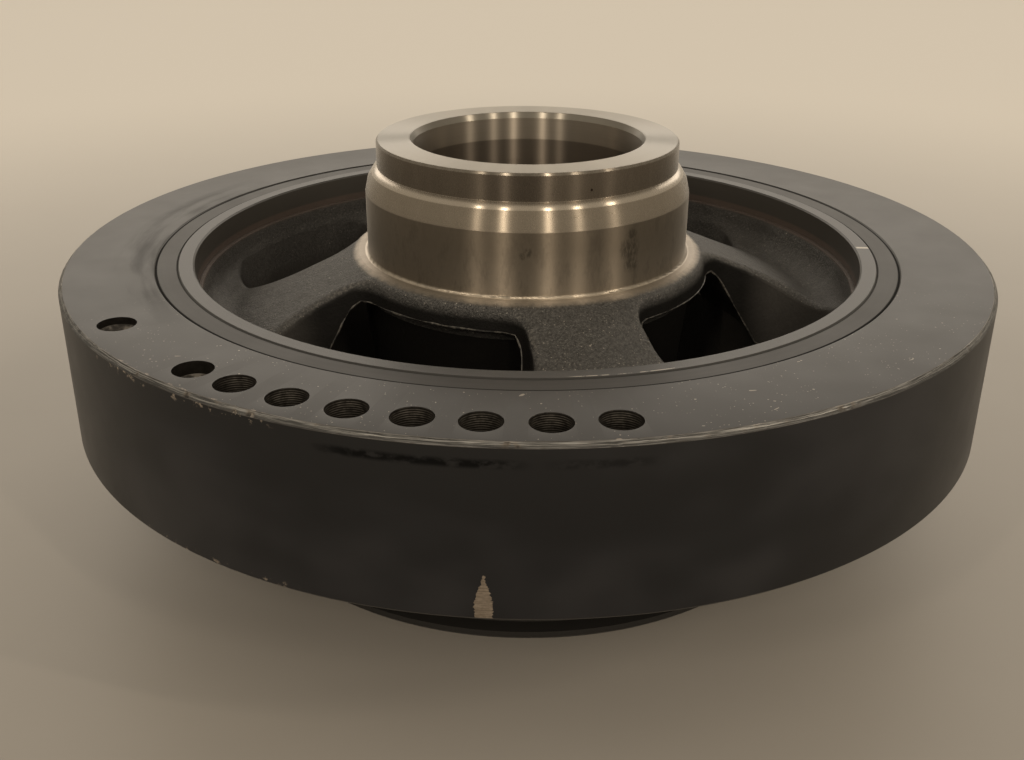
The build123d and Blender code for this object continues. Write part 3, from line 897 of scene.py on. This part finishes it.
def hub_finish():
    """Turned steel on the nose and in its bore, black paint on the rough casting, painted shade in the
    windows.
    """
    f = Finish("hub_casting_finish")
    facing, upright = f.facing()
    sand = f.noise(0.62 * MM, detail=6, roughness=0.72)
    lumps = f.noise(4 * MM, detail=4)
    grain = f.noise(0.34 * MM, detail=3, roughness=0.6)
    casting = rough_casting(f, upright, sand, lumps, grain)
    # painted shade laid over the paint in the windows
    painted_shade_share, painted_shade_shader = window_painted_shade(f, upright, sand, lumps, grain)
    painted = f.blend(painted_shade_share, casting, painted_shade_shader)
    steel = nose_steel(f, facing, sand)

    # steel ends at the flange, where the paint begins with a dusted edge
    ragged_edge = f.times(f.noise(1.5 * MM, detail=5), 2.2 * MM)
    collar = f.times(f.step(f.add(f.radius, ragged_edge), FLANGE_RADIUS + 3.4 * MM, FLANGE_RADIUS + 0.9 * MM),
                     f.step(f.z, FLANGE_HEIGHT - 0.9 * MM, FLANGE_HEIGHT - 0.4 * MM))
    bore_steel = f.times(f.step(f.radius, BORE_RADIUS + 0.8 * MM, BORE_RADIUS + 0.3 * MM),
                         f.step(f.z, BORE_FLOOR - 0.5 * MM, BORE_FLOOR - 0.1 * MM))
    return f.finish(f.blend(f.most(collar, bore_steel), painted, steel))


# ---------------------------------------------------------------- finishes of the rubber and the flash
RUBBER_BLACKS = (0.011, 0.010, 0.0091), (0.023, 0.0209, 0.0189)
SEAM_BLACK = (0.001, 0.001, 0.001)
FLASH_TONES = (0.014, 0.013, 0.012), (0.075, 0.069, 0.06)


def rubber_finish():
    """Rubber under the same black paint, duller than the ring, with a dark seam along each edge."""
    f = Finish("painted_rubber")
    marks = f.turning_marks(0.7 * MM)
    cloud = f.noise(14 * MM, detail=4)
    seam = f.most(f.step(f.radius, RING_BORE_RADIUS - 0.5 * MM, RING_BORE_RADIUS - 0.25 * MM),
                  f.times(f.step(f.radius, HUB_RIM_RADIUS + 0.3 * MM, HUB_RIM_RADIUS + 0.1 * MM), 0.6))
    tone = f.mix(seam, f.mix(marks, *RUBBER_BLACKS), SEAM_BLACK)
    rough = f.add(0.40, f.times(cloud, 0.12), f.times(seam, 0.55))
    grooves = f.bump(marks, 0.04 * MM, 0.6)
    return f.finish(f.surface(tone, 0.0, rough, grooves, Specular_IOR_Level=PAINT_GLOSS))


def flash_finish():
    """Paint rubbed thin on the ragged flash, so that the iron shows."""
    f = Finish("flash_rubbed_paint")
    rub = f.noise(1.1 * MM, detail=5)
    tone = f.mix(f.step(rub, 0.42, 0.62), *FLASH_TONES)
    return f.finish(f.surface(tone, 0.0, 0.5, f.bump(rub, 0.1 * MM, 0.8)))


# ---------------------------------------------------------------- assembly
add_studio()
nodes["hub"].material_slots[0].material = hub_finish()
nodes["rubber_ring"].material_slots[0].material = rubber_finish()

ring = model_ring()
wear_edge(ring)
drill_holes(ring)
activate(ring)
bpy.ops.object.shade_smooth_by_angle(angle=radians(28))
ring.data.materials.clear()
ring.data.materials.append(ring_paint())
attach(ring, "root")
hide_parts("inertia_ring")

flash = model_flash(nodes["hub"])
flash.data.materials.clear()
flash.data.materials.append(flash_finish())
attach(flash, "root")
